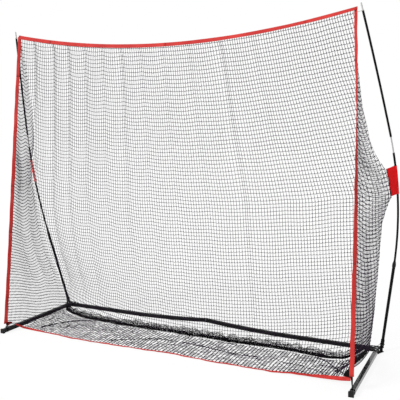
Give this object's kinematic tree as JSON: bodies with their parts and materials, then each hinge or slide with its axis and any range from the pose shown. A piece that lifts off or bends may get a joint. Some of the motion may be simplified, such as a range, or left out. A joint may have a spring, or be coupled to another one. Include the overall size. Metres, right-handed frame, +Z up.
{
  "type": "golf hitting net",
  "caption": "Bow-frame golf hitting net: a folding square-tube base, two bent poles plugged into its rear corners, and a bagged net with red hems.",
  "frame": {"origin": "middle of the base's footprint, on the ground", "axes": "+X along the rear bar to the right foot seen from the mouth, +Y from the net's mouth to its back, +Z up"},
  "size_m": [2.7776, 0.824, 2.1447],
  "materials": {
    "black_paint": "black powder coat",
    "foot_paint": "worn black powder coat",
    "plated_steel": "zinc plated",
    "cap_rubber": "matt moulded",
    "black_plastic": "moulded",
    "grey_plastic": "moulded",
    "rod_sleeve": "satin sleeve",
    "fibreglass": "bare resin rod",
    "elastic": "woven elastic",
    "tab_red": "bright red woven nylon",
    "hem_red": "faded red webbing",
    "netting": "knotless black twine",
    "patch_black": "woven nylon",
    "tie_cord": "braided cord",
    "loop_cord": "pale elastic cord"
  },
  "bodies": {
    "base": {"rear_bar_left": "black_paint", "rear_bar_right": "black_paint", "bar_plug_left": "grey_plastic", "bar_plug_right": "grey_plastic", "bar_coupling": "plated_steel", "bar_button_spring": "plated_steel", "corner_bracket_left": "black_paint", "corner_bracket_right": "black_paint", "bracket_bolts_left": "plated_steel", "bracket_bolts_right": "plated_steel", "pole_socket_left": "black_paint", "pole_socket_right": "black_paint", "pivot_bolt_left": "plated_steel", "pivot_bolt_right": "plated_steel", "plate_spacer_left": "black_paint", "plate_spacer_right": "black_paint", "net_back": "netting", "net_side_left": "netting", "net_side_right": "netting", "net_floor_left": "netting", "net_floor_right": "netting", "net_roll_left": "netting", "net_roll_right": "netting", "hem_top": "hem_red", "hem_side_left": "hem_red", "hem_side_right": "hem_red", "hem_bottom_left": "hem_red", "hem_bottom_right": "hem_red", "corner_patch_left": "patch_black", "corner_patch_right": "patch_black", "rear_tie_left": "tie_cord", "rear_tie_right": "tie_cord"},
    "left_foot": {"foot_left": "foot_paint", "foot_stop_pin_left": "plated_steel", "foot_cap_left": "cap_rubber", "foot_rear_plug_left": "black_plastic", "corner_strap_left": "elastic"},
    "right_foot": {"foot_right": "foot_paint", "foot_stop_pin_right": "plated_steel", "foot_cap_right": "cap_rubber", "foot_rear_plug_right": "black_plastic", "corner_strap_right": "elastic"},
    "left_pole": {"pole_tube_left": "black_paint", "pole_collar_left": "black_plastic", "lower_rod_sleeve_left": "rod_sleeve", "rod_spigot_left": "fibreglass", "pole_tab_left": "tab_red"},
    "right_pole": {"pole_tube_right": "black_paint", "pole_collar_right": "black_plastic", "lower_rod_sleeve_right": "rod_sleeve", "rod_spigot_right": "fibreglass", "pole_tab_right": "tab_red"},
    "left_rod": {"upper_rod_sleeve_left": "rod_sleeve", "rod_tip_left": "fibreglass", "top_loop_left": "loop_cord"},
    "right_rod": {"upper_rod_sleeve_right": "rod_sleeve", "rod_tip_right": "fibreglass", "top_loop_right": "loop_cord"},
    "snap_button": {"bar_button": "plated_steel"}
  },
  "joints": [
    {"name": "left_foot_fold", "type": "hinge", "parent": "base", "child": "left_foot", "pos_m": [-1.25, 0.356, 0.0153], "axis": [0, 0, 1], "range_deg": [0, 90], "deforming": ["net_floor_left", "net_roll_left", "hem_bottom_left", "corner_strap_left"]},
    {"name": "right_foot_fold", "type": "hinge", "parent": "base", "child": "right_foot", "pos_m": [1.25, 0.356, 0.0153], "axis": [0, 0, 1], "range_deg": [-90, 0], "deforming": ["net_floor_right", "net_roll_right", "hem_bottom_right", "corner_strap_right"]},
    {"name": "left_pole_lift", "type": "slide", "parent": "base", "child": "left_pole", "axis": [-0.1315, -0.2258, 0.9653], "range_m": [0, 0.06]},
    {"name": "right_pole_lift", "type": "slide", "parent": "base", "child": "right_pole", "axis": [0.1315, -0.2258, 0.9653], "range_m": [0, 0.06]},
    {"name": "left_rod_pull", "type": "slide", "parent": "left_pole", "child": "left_rod", "axis": [0.1645, -0.3184, 0.9336], "range_m": [0, 0.065]},
    {"name": "right_rod_pull", "type": "slide", "parent": "right_pole", "child": "right_rod", "axis": [-0.1645, -0.3184, 0.9336], "range_m": [0, 0.065]},
    {"name": "snap_button_press", "type": "slide", "parent": "base", "child": "snap_button", "axis": [-0.0801, 0, -0.9968], "range_m": [0, 0.0028], "stiffness_N_per_m": 900, "springref_m": -0.002, "deforming": ["bar_button_spring"]}
  ]
}
